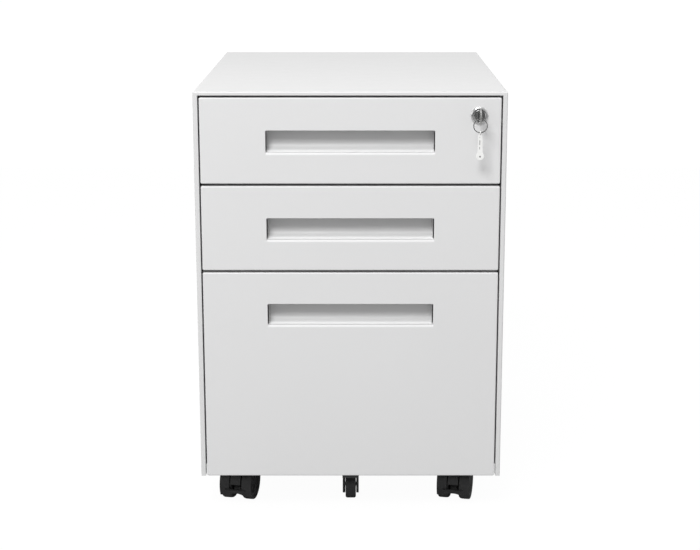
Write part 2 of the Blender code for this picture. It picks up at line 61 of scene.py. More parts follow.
# ------------------------------------------------------------------ materials
class Nodes:
    """A small helper for writing a material's node tree."""

    def __init__(self, name):
        self.material = bpy.data.materials.new(name)
        self.material.use_nodes = True
        self.tree = self.material.node_tree
        self.shader = self.tree.nodes["Principled BSDF"]
        self.coord = self.tree.nodes.new("ShaderNodeTexCoord")

    def put(self, kind, **inputs):
        node = self.tree.nodes.new(kind)
        for key, value in inputs.items():
            key = key.replace("_", " ")
            if isinstance(value, bpy.types.NodeSocket):
                self.tree.links.new(value, node.inputs[key])
            else:
                node.inputs[key].default_value = value
        return node

    def link(self, a, b):
        self.tree.links.new(a, b)

    def noise(self, scale, detail=2.0, rough=0.5, vector=None, distortion=0.0):
        node = self.put("ShaderNodeTexNoise", Scale=scale, Detail=detail, Roughness=rough)
        node.inputs["Distortion"].default_value = distortion
        self.link(vector or self.coord.outputs["Object"], node.inputs["Vector"])
        return node.outputs["Fac"]

    def stretch(self, scale):
        node = self.tree.nodes.new("ShaderNodeMapping")
        node.inputs["Scale"].default_value = scale
        self.link(self.coord.outputs["Object"], node.inputs["Vector"])
        return node.outputs["Vector"]

    def span(self, value, a, b, lo=0.0, hi=1.0):
        node = self.tree.nodes.new("ShaderNodeMapRange")
        self.link(value, node.inputs["Value"])
        for key, number in (("From Min", lo), ("From Max", hi), ("To Min", a), ("To Max", b)):
            node.inputs[key].default_value = number
        return node.outputs["Result"]

    def mix(self, fac, a, b):
        node = self.tree.nodes.new("ShaderNodeMix")
        node.data_type = "RGBA"
        if isinstance(fac, bpy.types.NodeSocket):
            self.link(fac, node.inputs[0])
        else:
            node.inputs[0].default_value = fac
        for socket, value in ((node.inputs[6], a), (node.inputs[7], b)):
            if isinstance(value, bpy.types.NodeSocket):
                self.link(value, socket)
            else:
                socket.default_value = (*value, 1.0)
        return node.outputs[2]

    def bump(self, height, strength, distance, normal=None):
        node = self.tree.nodes.new("ShaderNodeBump")
        node.inputs["Strength"].default_value = strength
        node.inputs["Distance"].default_value = distance
        self.link(height, node.inputs["Height"])
        if normal is not None:
            self.link(normal, node.inputs["Normal"])
        return node.outputs["Normal"]

    def edges(self, radius):
        """High on convex and concave edges, from the bevelled normal."""
        bevel = self.tree.nodes.new("ShaderNodeBevel")
        bevel.samples = 4
        bevel.inputs["Radius"].default_value = radius
        geometry = self.tree.nodes.new("ShaderNodeNewGeometry")
        dot = self.tree.nodes.new("ShaderNodeVectorMath")
        dot.operation = "DOT_PRODUCT"
        self.link(bevel.outputs["Normal"], dot.inputs[0])
        self.link(geometry.outputs["Normal"], dot.inputs[1])
        return self.span(dot.outputs["Value"], 1.0, 0.0, 0.80, 1.0)

    def set(self, **inputs):
        for key, value in inputs.items():
            key = key.replace("_", " ")
            if isinstance(value, bpy.types.NodeSocket):
                self.link(value, self.shader.inputs[key])
            elif key == "Base Color":
                self.shader.inputs[key].default_value = (*value, 1.0)
            else:
                self.shader.inputs[key].default_value = value
        return self.material


def powder(name, base, rough=0.42, grain=1.0, depths=None):
    """Fine-texture powder coat: orange peel, fine grain, faint handling marks.

    The optional list of (distance behind the front plane, tone) pairs is painted light and shade:
    it scales the tone by depth, to stand in for shade in a recess and for highlights on rims.
    """
    n = Nodes(name)
    peel = n.noise(520.0, 2.0, 0.5)
    fine = n.noise(2600.0, 1.0, 0.5)
    cloud = n.noise(7.0, 3.0, 0.55)
    marks = n.noise(38.0, 4.0, 0.6, vector=n.stretch((1.0, 1.0, 3.0)))
    normal = n.bump(peel, 0.16 * grain, 0.0003)
    normal = n.bump(fine, 0.10 * grain, 0.0001, normal)
    light = tuple(c * 1.012 for c in base)
    dark = tuple(c * 0.985 for c in base)
    tone = n.mix(cloud, dark, light)
    speck = n.span(n.noise(1500.0, 0.0), 0.0, 0.05, 0.60, 0.80)
    tone = n.mix(speck, tone, tuple(c * 0.86 for c in base))
    worn = n.span(n.edges(0.0006), 0.0, 0.35, 0.35, 1.0)
    tone = n.mix(worn, tone, tuple(min(1.0, c * 1.03) for c in base))
    # painted light and shade: the tone is scaled by a ramp on depth behind the front plane
    if depths:
        split = n.put("ShaderNodeSeparateXYZ", Vector=n.coord.outputs["Object"])
        reach = depths[-1][0]
        ramp = n.tree.nodes.new("ShaderNodeValToRGB")
        n.link(n.span(split.outputs["Y"], 0.0, 1.0, F, F + reach), ramp.inputs["Fac"])
        points = ramp.color_ramp.elements
        while len(points) < len(depths):
            points.new(0.5)
        for point, (depth, level) in zip(points, depths):
            point.position = depth / reach
            point.color = (level, level, level, 1.0)
        scale = n.tree.nodes.new("ShaderNodeMix")
        scale.data_type, scale.blend_type = "RGBA", "MULTIPLY"
        scale.inputs[0].default_value = 1.0
        n.link(tone, scale.inputs[6])
        n.link(ramp.outputs["Color"], scale.inputs[7])
        tone = scale.outputs[2]
    gloss = n.span(marks, rough - 0.05, rough + 0.07, 0.3, 0.7)
    return n.set(Base_Color=tone, Roughness=gloss, Normal=normal, Specular_IOR_Level=0.45)


def zinc(name, base, rough=0.34):
    """Rolled, zinc-plated strip: long fine draw lines and a faint blotchy sheen."""
    n = Nodes(name)
    lines = n.noise(1.0, 2.0, 0.6, vector=n.stretch((2600.0, 30.0, 2600.0)))
    cloud = n.noise(22.0, 3.0, 0.6)
    tone = n.mix(cloud, tuple(c * 0.90 for c in base), tuple(min(1, c * 1.06) for c in base))
    tone = n.mix(n.span(cloud, 0.0, 0.25, 0.55, 0.75), tone, (0.63, 0.60, 0.50))
    worn = n.span(n.edges(0.0004), 0.0, 0.5, 0.4, 1.0)
    tone = n.mix(worn, tone, (0.80, 0.80, 0.80))
    gloss = n.span(lines, rough - 0.08, rough + 0.12, 0.3, 0.7)
    return n.set(
        Base_Color=tone,
        Roughness=gloss,
        Metallic=1.0,
        Normal=n.bump(lines, 0.06, 0.0001),
    )


def chrome(name, base=(0.74, 0.74, 0.74), rough=0.12):
    """Nickel plate with polishing haze and hairline scratches."""
    n = Nodes(name)
    haze = n.noise(260.0, 3.0, 0.6)
    hair = n.noise(1.0, 1.0, 0.5, vector=n.stretch((9000.0, 500.0, 900.0)))
    tone = n.mix(haze, tuple(c * 0.93 for c in base), base)
    gloss = n.span(haze, rough * 0.7, rough * 1.5, 0.3, 0.7)
    return n.set(
        Base_Color=tone, Roughness=gloss, Metallic=1.0, Normal=n.bump(hair, 0.03, 0.00005)
    )


def moulded(name, base, rough=0.42, dust=0.0):
    """Moulded black nylon: fine spark-eroded grain, slightly polished edges, dust low down."""
    n = Nodes(name)
    grain = n.noise(3200.0, 1.0, 0.5)
    swirl = n.noise(60.0, 3.0, 0.6)
    tone = n.mix(swirl, tuple(c * 0.8 for c in base), tuple(c * 1.25 for c in base))
    worn = n.span(n.edges(0.0005), 0.0, 0.5, 0.4, 1.0)
    tone = n.mix(worn, tone, tuple(c * 2.2 for c in base))
    if dust:
        settle = n.span(n.noise(140.0, 4.0, 0.65), 0.0, dust, 0.45, 0.8)
        tone = n.mix(settle, tone, (0.14, 0.135, 0.13))
    gloss = n.span(swirl, rough - 0.06, rough + 0.10, 0.3, 0.7)
    return n.set(Base_Color=tone, Roughness=gloss, Normal=n.bump(grain, 0.12, 0.00012))


# painted shade: the front 4 mm of the sheet, its front flange and rounded front edge, is darkened by up to 3.5 %
BODY = powder(
    "body_powder_coat", (0.700, 0.700, 0.700),
    depths=((0.0, 0.965), (0.5 * MM, 0.965), (1.6 * MM, 0.98), (4.0 * MM, 1.0)),
)
# painted shade: the front skin behind its flat face, the rounded rims and the pull opening's lip most, is darkened by 3
# to 5 % to tone down their highlights
FACE = powder(
    "front_powder_coat", (0.700, 0.700, 0.702),
    depths=((0.0, 1.0), (0.15 * MM, 1.0), (0.9 * MM, 0.95), (2.6 * MM, 0.95), (4.0 * MM, 0.97)),
)
# painted light and shade: the recess is lightened by up to 22 % near the front of its floor and darkened to 68 %
# towards its back wall
CUP = powder(
    "recess_coat_painted_light_and_shade", (0.700, 0.700, 0.702),
    depths=((0.0, 1.0), (4.5 * MM, 1.22), (6.5 * MM, 1.20), (8.0 * MM, 1.12), (10.0 * MM, 0.92), (11.5 * MM, 0.77), (13.5 * MM, 0.68), (16.2 * MM, 0.77)),
)
INSIDE = powder("drawer_powder_coat", (0.680, 0.680, 0.678), rough=0.48)
ZINC = zinc("zinc_plated_strip", (0.60, 0.61, 0.62))
CHROME = chrome("nickel_plate", (0.74, 0.74, 0.74))
FACE_METAL = chrome("plug_nickel", (0.40, 0.40, 0.40), 0.16)
KEYMETAL = chrome("key_nickel", (0.50, 0.50, 0.49), 0.18)
RINGMETAL = chrome("ring_nickel", (0.26, 0.26, 0.26), 0.25)
DARK_STEEL = zinc("dark_plated_cam", (0.36, 0.36, 0.37), 0.4)
HOOD = moulded("caster_hood_nylon", (0.013, 0.013, 0.0135), 0.38)
WHEEL = moulded("caster_wheel_nylon", (0.016, 0.016, 0.017), 0.48, dust=0.10)
HUB = moulded("caster_hub_nylon", (0.020, 0.020, 0.021), 0.34)
TAG = moulded("pale_tag_plastic", (0.80, 0.80, 0.79), 0.32)


# ------------------------------------------------------------------ mesh helpers
def piece(name, bm, material, body, replaces=(), slot=None, smooth=35.0, recalc=True, bevel=0.0):
    if recalc:
        bmesh.ops.recalc_face_normals(bm, faces=bm.faces)
    mesh = bpy.data.meshes.new(name)
    for face in bm.faces:
        face.smooth = True
    limit = math.radians(smooth)
    for edge in bm.edges:
        if len(edge.link_faces) != 2 or edge.calc_face_angle(0.0) > limit:
            edge.smooth = False
    bm.to_mesh(mesh)
    bm.free()
    mesh.materials.append(material)
    item = bpy.data.objects.new(name, mesh)
    bpy.context.scene.collection.objects.link(item)
    if bevel:
        ease = item.modifiers.new("eased_edges", "BEVEL")
        ease.width, ease.segments = bevel, 2
        ease.limit_method, ease.angle_limit = "ANGLE", math.radians(38)
        ease.use_clamp_overlap = True
    weigh = item.modifiers.new("even_shading", "WEIGHTED_NORMAL")
    weigh.keep_sharp = True
    weigh.weight = 50
    if body:
        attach(item, body)
    if replaces:
        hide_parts(*replaces)
    return item


def skin_rings(bm, rings, closed=True, cap_first=False, cap_last=False):
    """Faces between successive rings of equal count."""
    rows = [[bm.verts.new(p) for p in ring] for ring in rings]
    count = len(rows[0])
    last = count if closed else count - 1
    for a, b in zip(rows, rows[1:]):
        for i in range(last):
            j = (i + 1) % count
            bm.faces.new((a[i], a[j], b[j], b[i]))
    if cap_first:
        bm.faces.new(rows[0])
    if cap_last:
        bm.faces.new(rows[-1])
    return rows


def rounded_rect(half_u, half_v, radius, steps=5):
    """(u, v, outward normal) round a rectangle with rounded corners, counter-clockwise."""
    radius = max(radius, 1e-5)
    out = []
    for quarter, (su, sv) in enumerate(((1, 1), (-1, 1), (-1, -1), (1, -1))):
        for i in range(steps + 1):
            a = math.pi / 2 * (quarter + i / steps)
            nu, nv = math.cos(a), math.sin(a)
            out.append(
                (
                    su * (half_u - radius) + radius * nu,
                    sv * (half_v - radius) + radius * nv,
                    nu,
                    nv,
                )
            )
    return out


def revolve(bm, profile, steps, place):
    """Turns (radius, along) points into a surface; place maps (along, cos, sin, radius) to a point."""
    rows = []
    for r, t in profile:
        if r < 1e-7:
            rows.append([bm.verts.new(place(t, 1.0, 0.0, 0.0))])
        else:
            rows.append(
                [
                    bm.verts.new(
                        place(
                            t,
                            math.cos(2 * math.pi * i / steps),
                            math.sin(2 * math.pi * i / steps),
                            r,
                        )
                    )
                    for i in range(steps)
                ]
            )
    for a, b in zip(rows, rows[1:]):
        for i in range(steps):
            j = (i + 1) % steps
            if len(a) == 1 and len(b) == 1:
                continue
            if len(a) == 1:
                bm.faces.new((a[0], b[j], b[i]))
            elif len(b) == 1:
                bm.faces.new((a[i], a[j], b[0]))
            else:
                bm.faces.new((a[i], a[j], b[j], b[i]))


def along_x(cx, cy, cz):
    return lambda t, c, s, r: (cx + t, cy + r * c, cz + r * s)


def along_y(cx, cy, cz):
    return lambda t, c, s, r: (cx + r * c, cy + t, cz + r * s)


def along_z(cx, cy, cz):
    return lambda t, c, s, r: (cx + r * c, cy + r * s, cz + t)


def soft(points, radius, steps=3):
    """Rounds the inner corners of an open run of 2D points."""
    out = [points[0]]
    for a, b, c in zip(points, points[1:], points[2:]):
        a, b, c = Vector(a), Vector(b), Vector(c)
        ab, bc = (a - b), (c - b)
        r = min(radius, ab.length * 0.45, bc.length * 0.45)
        if r < 1e-6:
            out.append(tuple(b))
            continue
        p, q = b + ab.normalized() * r, b + bc.normalized() * r
        for i in range(steps + 1):
            t = i / steps
            out.append(tuple((1 - t) ** 2 * p + 2 * t * (1 - t) * b + t * t * q))
    out.append(points[-1])
    return out


def turned(name, profile, steps, place, material, body, **kw):
    bm = bmesh.new()
    revolve(bm, profile, steps, place)
    return piece(name, bm, material, body, **kw)


def solid_outline(bm, points, t0, t1, place, round_by=0.0, round_steps=2):
    """A flat outline between two depths, its rims rounded; place maps (u, v, depth) to a point."""
    pts = [Vector(p) for p in points]
    count = len(pts)
    area = sum(
        pts[i].x * pts[(i + 1) % count].y - pts[(i + 1) % count].x * pts[i].y
        for i in range(count)
    )
    if area < 0:
        pts.reverse()

    def inset(by):
        if by == 0:
            return pts
        out = []
        for i in range(count):
            a, b, c = pts[i - 1], pts[i], pts[(i + 1) % count]
            n1 = Vector((-(b - a).y, (b - a).x)).normalized()
            n2 = Vector((-(c - b).y, (c - b).x)).normalized()
            n = n1 + n2
            n = n / max(0.35, n.length_squared / 2) if n.length > 1e-6 else n1
            out.append(b + n * by)
        return out

    rings = []
    if round_by:
        for i in range(round_steps + 1):
            a = math.pi / 2 * i / round_steps
            rings.append((round_by * (1 - math.sin(a)), t0 + round_by * (1 - math.cos(a))))
        for i in range(round_steps + 1):
            a = math.pi / 2 * (1 - i / round_steps)
            rings.append((round_by * (1 - math.sin(a)), t1 - round_by * (1 - math.cos(a))))
    else:
        rings = [(0.0, t0), (0.0, t1)]
    skin_rings(
        bm,
        [[place(p.x, p.y, t) for p in inset(by)] for by, t in rings],
        cap_first=True,
        cap_last=True,
    )


def worked(bm, steps):
    """Joins or cuts closed shapes in turn; steps are (operation, other shape)."""
    items = []
    for index, shape in enumerate([bm] + [other for _, other in steps]):
        bmesh.ops.recalc_face_normals(shape, faces=shape.faces)
        mesh = bpy.data.meshes.new(f"work_{index}")
        shape.to_mesh(mesh)
        shape.free()
        item = bpy.data.objects.new(f"work_{index}", mesh)
        bpy.context.scene.collection.objects.link(item)
        items.append(item)
    for (how, _), other in zip(steps, items[1:]):
        step = items[0].modifiers.new("step", "BOOLEAN")
        step.operation, step.solver, step.object = how, "EXACT", other
    bpy.context.view_layer.update()
    graph = bpy.context.evaluated_depsgraph_get()
    mesh = bpy.data.meshes.new_from_object(items[0].evaluated_get(graph))
    out = bmesh.new()
    out.from_mesh(mesh)
    bpy.data.meshes.remove(mesh)
    for item in items:
        data = item.data
        bpy.data.objects.remove(item, do_unlink=True)
        bpy.data.meshes.remove(data)
    bmesh.ops.remove_doubles(out, verts=out.verts, dist=1e-6)
    bmesh.ops.dissolve_degenerate(out, edges=out.edges, dist=1e-6)
    return out


# ------------------------------------------------------------------ body
def body_wrap():
    """One bent sheet: left side, top and right side, folded in round the front with a short return."""
    side, over = 6.0 * MM, 4.8 * MM
    sheet, back_fold = 1.2 * MM, 12 * MM
    r, ri = 1.5 * MM, 0.5 * MM
    section = [(0.5 * MM, B), (0.15 * MM, B - 0.15 * MM), (0.0, B - 0.5 * MM)]
    section.append((0.0, F + 0.25))
    section.append((0.0, F + 0.02))
    for i in range(6):
        a = math.pi / 2 * i / 5
        section.append((r * (1 - math.cos(a)), F + r * (1 - math.sin(a))))
    section.append((side * 0.5, F))
    for i in range(4):
        a = math.pi / 2 * i / 3
        section.append((side - ri * (1 - math.sin(a)), F + ri * (1 - math.cos(a))))
    section += [
        (side, F + back_fold),
        (side - sheet * 0.8, F + back_fold),
        (side - sheet * 0.8, F + sheet),
        (sheet, F + sheet),
        (sheet, B),
    ]
    bend = 2.4 * MM
    k = over / side

    def at(n, stage, t):
        if stage == "left":
            return (-HALF + n, LOW + (TOP - bend - LOW) * t)
        if stage == "right":
            return (HALF - n, TOP - bend + (LOW - TOP + bend) * t)
        a = math.pi / 2 * t
        if n < bend:
            r_here = bend - n
            if stage == "corner_left":
                return (-HALF + bend - r_here * math.cos(a), TOP - bend + r_here * math.sin(a))
            return (HALF - bend + r_here * math.sin(a), TOP - bend + r_here * math.cos(a))
        z = TOP - n * k - max(0.0, bend - n)
        if stage == "corner_left":
            return (-HALF + n, z)
        return (HALF - n, z)

    stations = [("left", 0.0), ("left", 0.5), ("left", 0.97)]
    stations += [("corner_left", i / 6) for i in range(7)]
    stations += [("corner_right", i / 6) for i in range(7)]
    stations += [("right", 0.03), ("right", 0.5), ("right", 1.0)]
    rings = []
    for stage, t in stations:
        ring = []
        for n, y in section:
            x, z = at(n, stage, t)
            ring.append((x, y, z))
        rings.append(ring)
    bm = bmesh.new()
    skin_rings(bm, rings, cap_first=True, cap_last=True)
    bmesh.ops.remove_doubles(bm, verts=bm.verts, dist=1e-6)
    bmesh.ops.dissolve_degenerate(bm, edges=bm.edges, dist=1e-7)
    piece("body_wrap", bm, BODY, "cabinet", replaces=("outer_shell",), slot="body_powder")


body_wrap()


def back_sheet():
    """Back panel: folded edges, a plain border and a shallow pressed field."""
    (x0, y0, z0), (x1, y1, z1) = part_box("back_panel")
    cx, cz = (x0 + x1) / 2, (z0 + z1) / 2
    hx, hz = (x1 - x0) / 2 - 0.02 * MM, (z1 - z0) / 2 - 0.02 * MM
    back, sheet = y1 - 0.02 * MM, 0.9 * MM
    sink = 1.6 * MM
    border_x, border_z = 34 * MM, 36 * MM

    def ring(inset_x, inset_z, radius, y):
        return [(cx + u, y, cz + v) for u, v, *_ in rounded_rect(hx - inset_x, hz - inset_z, radius, 5)]

    rings = [ring(sheet, sheet, 0.3 * MM, y0 + 0.05 * MM), ring(0, 0, 0.8 * MM, y0 + 0.05 * MM), ring(0, 0, 0.8 * MM, back - 0.9 * MM)]
    for i in range(1, 5):
        a = math.pi / 2 * i / 4
        inset = 0.9 * MM * (1 - math.cos(a))
        rings.append(ring(inset, inset, 0.8 * MM, back - 0.9 * MM * (1 - math.sin(a))))
    for step in range(9):
        t = step / 8
        drop = sink * (t * t * (3 - 2 * t))
        rings.append(ring(border_x + 4 * MM * t, border_z + 4 * MM * t, (12 - 4 * t) * MM, back - drop))
    face = len(rings) - 1
    for step in range(8, -1, -1):
        t = step / 8
        drop = sink * (t * t * (3 - 2 * t))
        rings.append(ring(border_x + 4 * MM * t, border_z + 4 * MM * t, (12 - 4 * t) * MM, back - drop - sheet))
    rings.append(ring(sheet + 0.2 * MM, sheet + 0.2 * MM, 0.3 * MM, back - sheet))
    bm = bmesh.new()
    rows = skin_rings(bm, rings)
    count = len(rows[0])
    for i in range(count):
        j = (i + 1) % count
        bm.faces.new((rows[-1][i], rows[-1][j], rows[0][j], rows[0][i]))
    # the field itself, front and back
    walls = [f for f in bm.faces if sum(v in set(rows[face]) for v in f.verts) == 2 and sum(v in set(rows[face + 1]) for v in f.verts) == 2]
    bmesh.ops.delete(bm, geom=walls, context="FACES_ONLY")
    bm.faces.new(rows[face])
    bm.faces.new(rows[face + 1])
    piece("back_sheet", bm, BODY, "cabinet", replaces=("back_panel",), slot="body_powder")


back_sheet()


# ------------------------------------------------------------------ drawer fronts
PULL_HALF = 108.25 * MM
PULL_CLEAR = 28.4 * MM
LIP = 3.3 * MM


def front_skin(key):
    z0, z1 = FRONTS[key]
    mid = (z0 + z1) / 2
    hw, hh = FRONT_HALF, (z1 - z0) / 2
    rc, re, depth, sheet = 1.9 * MM, 1.5 * MM, 20 * MM, 1.0 * MM
    rings = []

    def outer(inset, y):
        return [
            (u, F + y, mid + v)
            for u, v, *_ in rounded_rect(hw - inset, hh - inset, rc - min(inset, rc - 0.2 * MM), 5)
        ]

    rings.append(outer(sheet, 4.0 * MM))
    rings.append(outer(sheet, depth))
    rings.append(outer(0.0, depth))
    rings.append(outer(0.0, 4.0 * MM))
    for i in range(6):
        a = math.pi / 2 * i / 5
        rings.append(outer(re * (1 - math.cos(a)), re * (1 - math.sin(a))))
    rings.append(outer(re + 0.8 * MM, 0.0))
    top = z1 - 42 * MM
    hz = top - PULL_CLEAR / 2
    hole = rounded_rect(PULL_HALF, PULL_CLEAR / 2, 1.6 * MM, 5)

    def fold(nv):
        low = min(1.0, max(0.0, -nv))
        low = low * low * (3 - 2 * low)
        return 0.45 * MM + (LIP - 0.45 * MM) * low

    rings.append(
        [(u + n * (fold(m) + 1.2 * MM), F, hz + v + m * (fold(m) + 1.2 * MM)) for u, v, n, m in hole]
    )
    for i in range(8):
        a = math.pi / 2 * i / 7
        ring = []
        for u, v, n, m in hole:
            r = fold(m)
            off = r * (1 - math.sin(a))
            ring.append((u + n * off, F + r * (1 - math.cos(a)), hz + v + m * off))
        rings.append(ring)
    rings.append([(u, F + 3.75 * MM, hz + v) for u, v, *_ in hole])
    # the sheet's cut edge, turned outwards behind the recess
    rings.append([(u + n * 0.8 * MM, F + 3.8 * MM, hz + v + m * 0.8 * MM) for u, v, n, m in hole])
    bm = bmesh.new()
    skin_rings(bm, rings)
    if key == "top":
        return bm
    piece(f"{key}_front_skin", bm, FACE, f"{key}_drawer", replaces=(f"{key}_front",), slot="front_powder")
    return None


def pull_cup(key):
    """Pressed recess: flat back, scooped floor, closed ends with pressed corners."""
    top = FRONTS[key][1] - 42 * MM
    # (depth, height) run from the seam at the floor round to the top wall's front
    run = [(4.35 * MM, -PULL_CLEAR + 0.15 * MM)]
    deep, radius, straight = 16 * MM, 12.6 * MM, 15.3 * MM
    cy, cz = deep - radius, -straight
    for i in range(13):
        a = -math.pi / 2 + math.pi / 2 * i / 12
        y, z = cy + radius * math.cos(a), cz + (PULL_CLEAR - 0.15 * MM - straight) * math.sin(a)
        if y > run[-1][0] + 1e-5 or i > 2:
            run.append((y, z))
    rt = 1.6 * MM
    for i in range(6):
        a = math.pi / 2 * i / 5
        run.append((deep - rt * (1 - math.cos(a)), -rt + rt * math.sin(a)))
    run.append((1.2 * MM, 0.0))
    # ends: shrink the run towards the middle of the section as it nears each end
    end_r, steps = 1.6 * MM, 5
    rings = []

    def shrunk(by):
        out = []
        pts = [Vector(p) for p in run]
        for i, p in enumerate(pts):
            a = pts[max(0, i - 1)]
            c = pts[min(len(pts) - 1, i + 1)]
            d = (c - a).normalized()
            n = Vector((-d.y, d.x))
            out.append(p + n * by)
        return out

    for i in range(steps + 1):
        a = math.pi / 2 * i / steps
        x = -PULL_HALF + end_r * (1 - math.sin(a))
        rings.append([(x, F + p.x, top + p.y) for p in shrunk(end_r * (1 - math.cos(math.pi / 2 - a)))])
    for x in (-0.06, 0.0, 0.06):
        rings.append([(x, F + p[0], top + p[1]) for p in run])
    for i in range(steps + 1):
        a = math.pi / 2 * (1 - i / steps)
        x = PULL_HALF - end_r * (1 - math.sin(a))
        rings.append([(x, F + p.x, top + p.y) for p in shrunk(end_r * (1 - math.cos(math.pi / 2 - a)))])
    bm = bmesh.new()
    rows = skin_rings(bm, rings, closed=False)
    for row in (rows[0], rows[-1]):
        bm.faces.new(row)
    piece(f"{key}_pull_pan", bm, CUP, f"{key}_drawer", replaces=(f"{key}_pull_cup",), slot="front_powder", recalc=True)


for key in KEYS:
    bm = front_skin(key)
    if bm is not None:
        piece("top_front_skin", bm, FACE, "top_drawer", replaces=("top_front",), slot="front_powder")
    pull_cup(key)


def tray_hem(key):
    """Rolled hem along the tops of a tray's sides and back, its corners mitred and its ends closed."""
    (x0, y0, z0), (x1, y1, z1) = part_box(f"{key}_tray")
    r = 1.5 * MM
    path = [(x0 + r, y0 + 6 * MM), (x0 + r, y1 - r), (x1 - r, y1 - r), (x1 - r, y0 + 6 * MM)]
    rings = []
    for index, (px, py) in enumerate(path):
        here = Vector((px, py, 0.0))
        ways = []
        if index:
            ways.append((here - Vector((*path[index - 1], 0.0))).normalized())
        if index < len(path) - 1:
            ways.append((Vector((*path[index + 1], 0.0)) - here).normalized())
        side = sum((Vector((w.y, -w.x, 0.0)) for w in ways), Vector()) / len(ways)
        side = side / side.length_squared
        for step in ((0.0,) if index in (1, 2) else ((0.0, 1.0) if index == 0 else (1.0, 0.0))):
            ring = []
            for i in range(14):
                a = 2 * math.pi * i / 14
                k = r * (0.55 if step == 0.0 and index in (0, 3) else 1.0)
                shift = Vector((0, (0.6 * MM if step else 0.0), 0)) if index in (0, 3) else Vector()
                ring.append(here + shift + side * (k * math.cos(a)) + Vector((0, 0, z1 - r - 0.05 * MM + k * math.sin(a))))
            rings.append(ring)
    bm = bmesh.new()
    skin_rings(bm, rings, cap_first=True, cap_last=True)
    piece(f"{key}_tray_hem", bm, INSIDE, f"{key}_drawer", slot="drawer_powder", smooth=50.0)


for key in ("top", "middle"):
    tray_hem(key)


# ------------------------------------------------------------------ lock, key, ring and tag
bezel = soft(
    [(10.95, -0.25), (10.95, -1.7), (9.7, -2.75), (8.55, -2.75), (8.25, -2.2), (8.25, 24.0)],
    0.5,
)
turned(
    "lock_bezel",
    [(r * MM, t * MM) for r, t in bezel] + [(9.7 * MM, 22.5 * MM), (9.7 * MM, -0.2 * MM)],
    64,
    along_y(LOCK_X, F, LOCK_Z),
    CHROME,
    "top_drawer",
    replaces=("lock_housing",),
    slot="chrome",
)


def plug_face():
    """Plug with a dished face; the keyway, the slot for the blade, is painted shadow: a thin dark slab on the face."""
    bm = bmesh.new()
    prof = soft(
        [(7.95, 22.0), (7.95, 1.2), (7.3, 0.6), (7.3, -2.1), (6.6, -2.75), (5.9, -2.3), (5.5, -1.5), (3.4, -1.2), (1.9, -1.2), (0.0, -1.2)],
        0.35,
    )
    revolve(bm, [(r * MM, t * MM) for r, t in prof], 64, along_y(LOCK_X, F, LOCK_Z))
    piece("lock_plug_face", bm, FACE_METAL, "lock_turn", replaces=("lock_plug",), slot="chrome")
    bm = bmesh.new()
    slot = [(u, v) for u, v, *_ in rounded_rect(1.35 * MM, 3.9 * MM, 0.5 * MM, 3)]
    solid_outline(
        bm,
        slot,
        -1.30 * MM,
        -0.9 * MM,
        lambda u, v, t: (LOCK_X + u, F + t, LOCK_Z + v),
    )
    # painted shadow: a dark slab in place of the keyway's depth
    dark = moulded("keyway_shadow", (0.006, 0.006, 0.006), 0.6)
    piece("keyway", bm, dark, "lock_turn", slot="chrome")


plug_face()


def key_shape():
    """Key seen edge-on: stamped bow with a hole, shoulder, and a blade running into the plug."""
    bm = bmesh.new()
    steps = 48
    cy, r_out, hole_y, hole_z, hole_r = -16.5 * MM, 10.45 * MM, -20.0 * MM, -0.2 * MM, 2.8 * MM
    half = 0.95 * MM
    # bow as rings from the hole's edge to the rim, both faces and rounded rims
    def bow_ring(t, x):
        ring = []
        for i in range(steps):
            a = 2 * math.pi * i / steps
            inner_p = Vector((hole_y + hole_r * math.cos(a), hole_z + hole_r * math.sin(a)))
            squash = 1.0 - 0.05 * math.cos(2 * a)
            outer_p = Vector((cy + r_out * math.cos(a), r_out * squash * math.sin(a)))
            p = inner_p.lerp(outer_p, t)
            ring.append((LOCK_X + x, F + p.x, LOCK_Z + p.y))
        return ring

    rings = [bow_ring(0.0, -half * 0.7), bow_ring(0.06, -half)]
    rings += [bow_ring(0.5, -half), bow_ring(0.9, -half), bow_ring(1.0, -half * 0.55)]
    rings += [bow_ring(1.0, half * 0.55), bow_ring(0.9, half), bow_ring(0.5, half)]
    rings += [bow_ring(0.06, half), bow_ring(0.0, half * 0.7), bow_ring(0.0, -half * 0.7)]
    skin_rings(bm, rings)
    blade = [
        (-7.5, -3.4), (-3.2, -3.4), (-3.2, -2.9), (2, -2.9), (4, -1.9), (6, -2.7), (8, -1.4),
        (10, -2.6), (12, -1.8), (15, -2.7), (17.5, -0.6), (17.5, 0.8), (15.5, 2.9), (-3.2, 2.9),
        (-3.2, 3.4), (-7.5, 3.4),
    ]
    solid_outline(
        bm,
        [(y * MM, z * MM) for y, z in blade],
        -0.75 * MM,
        0.75 * MM,
        lambda u, v, t: (LOCK_X + t, F + u, LOCK_Z + v),
        round_by=0.15 * MM,
    )
    piece("key_in_lock", bm, KEYMETAL, "lock_turn", replaces=("key",), slot="chrome")


key_shape()
RING_C = Vector((LOCK_X, F - 20 * MM, LOCK_Z - 2.05 * MM - 8.55 * MM))


def split_ring():
    """Flattened spring wire wound nearly twice, its two ends lying along the ring."""
    bm = bmesh.new()
    turns, per = 1.9, 44
    count = int(turns * per)
    wire, sides = 0.29 * MM, 8
    rings = []
    for i in range(count + 1):
        a = math.pi * 0.85 + 2 * math.pi * turns * i / count
        lift = (i / count - 0.5) * 2
        y = 0.29 * MM * max(-1.0, min(1.0, lift * 3.2))
        centre = RING_C + Vector((8.55 * MM * math.cos(a), y, 8.55 * MM * math.sin(a)))
        out = Vector((math.cos(a), 0, math.sin(a)))
        taper = min(1.0, 0.5 + 6.0 * min(i, count - i) / count)
        ring = []
        for j in range(sides):
            b = 2 * math.pi * j / sides
            ring.append(
                centre
                + out * (0.56 * MM * taper * math.cos(b))
                + Vector((0, wire * taper * math.sin(b), 0))
            )
        rings.append(ring)
    skin_rings(bm, rings, cap_first=True, cap_last=True)
    piece("split_ring", bm, RINGMETAL, "key_ring", replaces=("key_ring",), slot="chrome")


split_ring()


